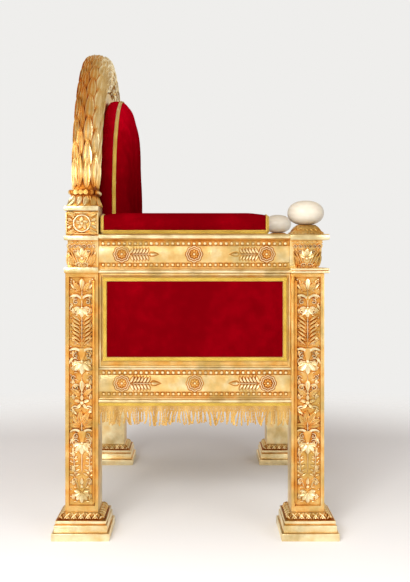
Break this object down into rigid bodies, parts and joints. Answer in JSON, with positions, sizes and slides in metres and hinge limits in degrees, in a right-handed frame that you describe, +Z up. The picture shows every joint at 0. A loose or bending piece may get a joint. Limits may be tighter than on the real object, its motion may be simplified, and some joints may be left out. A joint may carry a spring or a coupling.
{
  "type": "gilded throne armchair",
  "caption": "Gilded armchair throne with a round laurel hoop back, square carved posts on stepped feet, ivory-coloured balls, red velvet upholstery, gold braid and fringe.",
  "frame": {"origin": "on the floor, in the middle of the rectangle that the throne covers", "axes": "+Z up, the front of the throne faces -Y, +X to the right of someone who looks at its front"},
  "size_m": [0.87, 0.676, 1.2285],
  "materials": {
    "gilding": "carved wood, leaf gilded, pale and burnished on the high parts, warm brown in the hollows",
    "velvet": "deep crimson silk velvet",
    "braid": "woven gold braid",
    "fringe": "twisted gold bullion cords",
    "ivory": "ivory-coloured, polished",
    "canvas": "plain linen canvas under the seat"
  },
  "bodies": {
    "root": {"foot_front_left": "gilding", "foot_rear_left": "gilding", "post_front_left": "gilding", "post_rear_left": "gilding", "capital_left": "gilding", "arm_rail_left": "gilding", "side_rail_left": "gilding", "side_frame_left": "gilding", "side_panel_left": "velvet", "arm_lining_left": "velvet", "arm_pad_left": "velvet", "side_braid_left": "braid", "arm_braid_left": "braid", "fringe_left": "fringe", "ball_left": "ivory", "foot_front_right": "gilding", "foot_rear_right": "gilding", "post_front_right": "gilding", "post_rear_right": "gilding", "capital_right": "gilding", "arm_rail_right": "gilding", "side_rail_right": "gilding", "side_frame_right": "gilding", "side_panel_right": "velvet", "arm_lining_right": "velvet", "arm_pad_right": "velvet", "side_braid_right": "braid", "arm_braid_right": "braid", "fringe_right": "fringe", "ball_right": "ivory", "front_rail": "gilding", "rear_rail": "gilding", "hoop": "gilding", "back_frame": "gilding", "seat_cushion": "velvet", "back_pad": "velvet", "back_panel": "velvet", "seat_braid": "braid", "back_braid": "braid", "back_panel_braid": "braid", "seat_deck": "canvas", "fringe_front": "fringe"}
  },
  "joints": []
}
